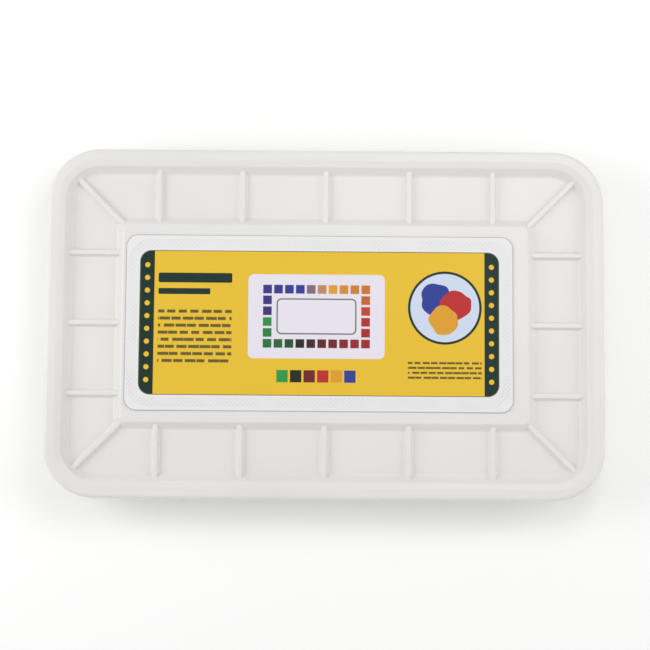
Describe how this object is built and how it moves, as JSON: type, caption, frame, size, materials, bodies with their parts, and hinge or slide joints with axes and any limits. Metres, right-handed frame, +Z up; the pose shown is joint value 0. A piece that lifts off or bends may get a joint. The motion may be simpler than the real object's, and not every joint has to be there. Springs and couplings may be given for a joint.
{
  "type": "paint palette",
  "caption": "Flat rounded-rectangle paint palette: drop-in pans in a ring round a mixing area, a ribbed lift-off lid, a rim gasket and a loose card on top.",
  "frame": {"origin": "middle of the tray's underside, on the surface that it stands on", "axes": "+X along the length, +Y towards the back long side, +Z up out of the lid"},
  "size_m": [0.409, 0.257, 0.038],
  "materials": {
    "tray_plastic": "white moulding with a smooth coated mixing surface",
    "lid_plastic": "white satin moulding",
    "pan_plastic": "thin white moulding",
    "seal_rubber": "soft grey-white silicone",
    "printed_card": "coated printed card, yellow panel in a white border"
  },
  "bodies": {
    "tray": {"tray": "tray_plastic", "corner_pan_back_right": "pan_plastic", "corner_pan_back_left": "pan_plastic", "corner_pan_front_left": "pan_plastic", "corner_pan_front_right": "pan_plastic", "back_pan_1": "pan_plastic", "front_pan_1": "pan_plastic", "back_pan_2": "pan_plastic", "front_pan_2": "pan_plastic", "back_pan_3": "pan_plastic", "front_pan_3": "pan_plastic", "back_pan_4": "pan_plastic", "front_pan_4": "pan_plastic", "back_pan_5": "pan_plastic", "front_pan_5": "pan_plastic", "back_pan_6": "pan_plastic", "front_pan_6": "pan_plastic", "back_pan_7": "pan_plastic", "front_pan_7": "pan_plastic", "back_pan_8": "pan_plastic", "front_pan_8": "pan_plastic", "left_pan_1": "pan_plastic", "right_pan_1": "pan_plastic", "left_pan_2": "pan_plastic", "right_pan_2": "pan_plastic", "left_pan_3": "pan_plastic", "right_pan_3": "pan_plastic", "left_pan_4": "pan_plastic", "right_pan_4": "pan_plastic"},
    "lid": {"lid": "lid_plastic", "gasket": "seal_rubber"},
    "card": {"card": "printed_card"}
  },
  "joints": [
    {"name": "lid_lift", "type": "slide", "parent": "tray", "child": "lid", "axis": [0, 0, 1], "range_m": [0, 0.12]},
    {"name": "card_lift", "type": "slide", "parent": "lid", "child": "card", "axis": [0, 0, 1], "range_m": [0, 0.06]}
  ]
}
